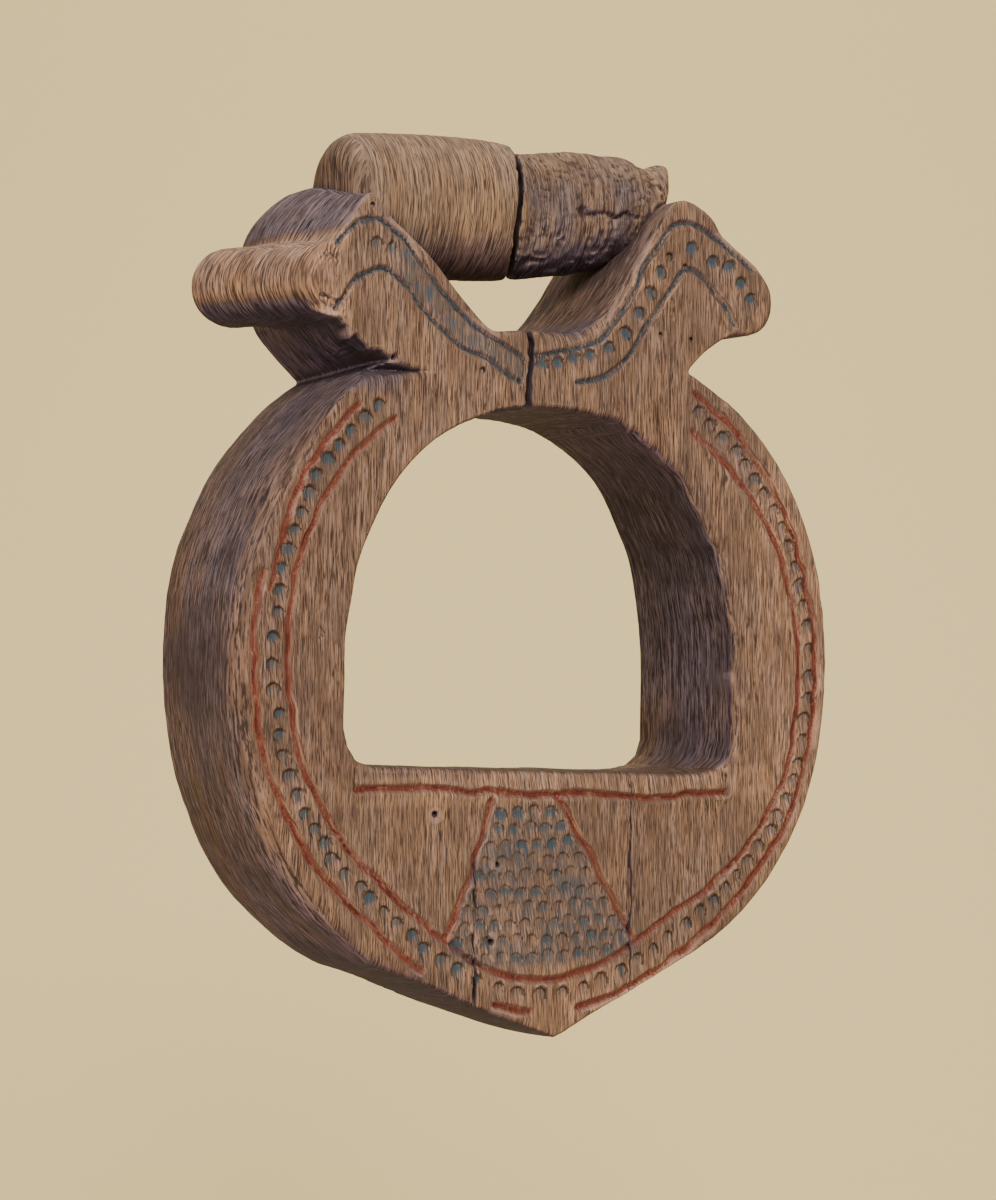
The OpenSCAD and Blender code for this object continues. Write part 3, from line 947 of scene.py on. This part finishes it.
bar_wood = carved_wood("bar_wood", pale=(0.44, 0.292, 0.196), mid=(0.190, 0.123, 0.083),
                       dark=(0.043, 0.028, 0.022), fineness=3300.0)
for name, sign in (("hanger_bar_left", 1), ("hanger_bar_right", -1)):
    cut = np.empty_like(volume)
    for j, y in enumerate(ys):
        tear = noise(y / 8, 4.5, Z / 8) + 0.45 * noise(y / 3, 8.5, Z / 3)
        tear = tear + 0.34 * (y + 19) + 0.03 * Z
        side = sign * (X - crack_x - tear) + 0.7
        cut[:, j, :] = trim(bar_volume[:, j, :], side, 0.8)
    piece = wooden_piece(name + "_carved", cut, {"hollow": bar_marks}, bar_shade_and_tint)
    piece.data.materials.append(bar_wood)
    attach(piece, "root")
    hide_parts(name)


# ---------------------------------------------------------------- Studio
# A plain pale sheet that curves up behind the stirrup, one soft key light from the upper
# right, a faint fill from the left, a lamp for the sheet, and dim cool light all round.

sheet_low, sheet_back, sheet_top = low.z * 0.001 - 0.22, 1.6, 2.6
sheet_half_w, bend = 3, 0.9
profile = [(-sheet_back, sheet_low), (sheet_back - bend, sheet_low)]
profile += [(sheet_back - bend + bend * math.sin(a), sheet_low + bend - bend * math.cos(a))
            for a in np.radians(np.arange(6, 91, 6))]
profile += [(sheet_back, sheet_top)]
view_turn = math.radians(27)
ahead = Vector((math.sin(view_turn), math.cos(view_turn), 0))
aside = Vector((math.cos(view_turn), -math.sin(view_turn), 0))
sheet_mesh = bpy.data.meshes.new("studio_sheet")
corners = [ahead * d + aside * s + Vector((0, 0, h))
           for d, h in profile for s in (-sheet_half_w, sheet_half_w)]
sheet_mesh.from_pydata(corners, [], [(2 * i, 2 * i + 1, 2 * i + 3, 2 * i + 2)
                                     for i in range(len(profile) - 1)])
studio_sheet = bpy.data.objects.new("studio_sheet", sheet_mesh)
bpy.context.scene.collection.objects.link(studio_sheet)
for face in sheet_mesh.polygons:
    face.use_smooth = True
paper = bpy.data.materials.new("pale_paper")
paper.use_nodes = True
paper_shader = paper.node_tree.nodes["Principled BSDF"]
paper_shader.inputs["Base Color"].default_value = (0.86, 0.69, 0.33, 1)
paper_shader.inputs["Roughness"].default_value = 0.95
sheet_mesh.materials.append(paper)


def lamp(name, place, aim, size, power, colour):
    """A soft square light at a place, turned towards a point."""
    data = bpy.data.lights.new(name, "AREA")
    data.size = size
    data.energy = power
    data.color = colour
    light = bpy.data.objects.new(name, data)
    light.location = place
    light.rotation_euler = (Vector(aim) - Vector(place)).to_track_quat("-Z", "Y").to_euler()
    bpy.context.scene.collection.objects.link(light)


middle = (0, 0, -0.11)
lamp("key", (-0.38, -1.20, 0.58), middle, 0.40, 25.5, (1.0, 0.95, 0.88))
lamp("fill", (-1.3, -0.5, -0.1), middle, 0.8, 3.0, (0.85, 0.80, 1.0))
lamp("sheet_light", (0.3, 0.45, 1.9), (0.5, 1.1, -0.2), 1.4, 42, (1.0, 0.97, 0.92))
world = bpy.data.worlds.new("studio")
world.use_nodes = True
sky = world.node_tree.nodes["Background"]
sky.inputs["Color"].default_value = (0.88, 0.88, 1.0, 1)
sky.inputs["Strength"].default_value = 0.28
bpy.context.scene.world = world

camera_far = 0.8
eye_z = -0.108
camera_data = bpy.data.cameras.new("camera")
camera_data.sensor_fit = "VERTICAL"
camera_data.angle_y = math.radians(24.06)
camera_data.shift_x = -0.0025
camera_data.shift_y = -0.0083
camera = bpy.data.objects.new("camera", camera_data)
camera.location = -ahead * camera_far + Vector((0, 0, eye_z))
camera.rotation_euler = (math.pi / 2, 0, -view_turn)
bpy.context.scene.collection.objects.link(camera)
bpy.context.scene.camera = camera
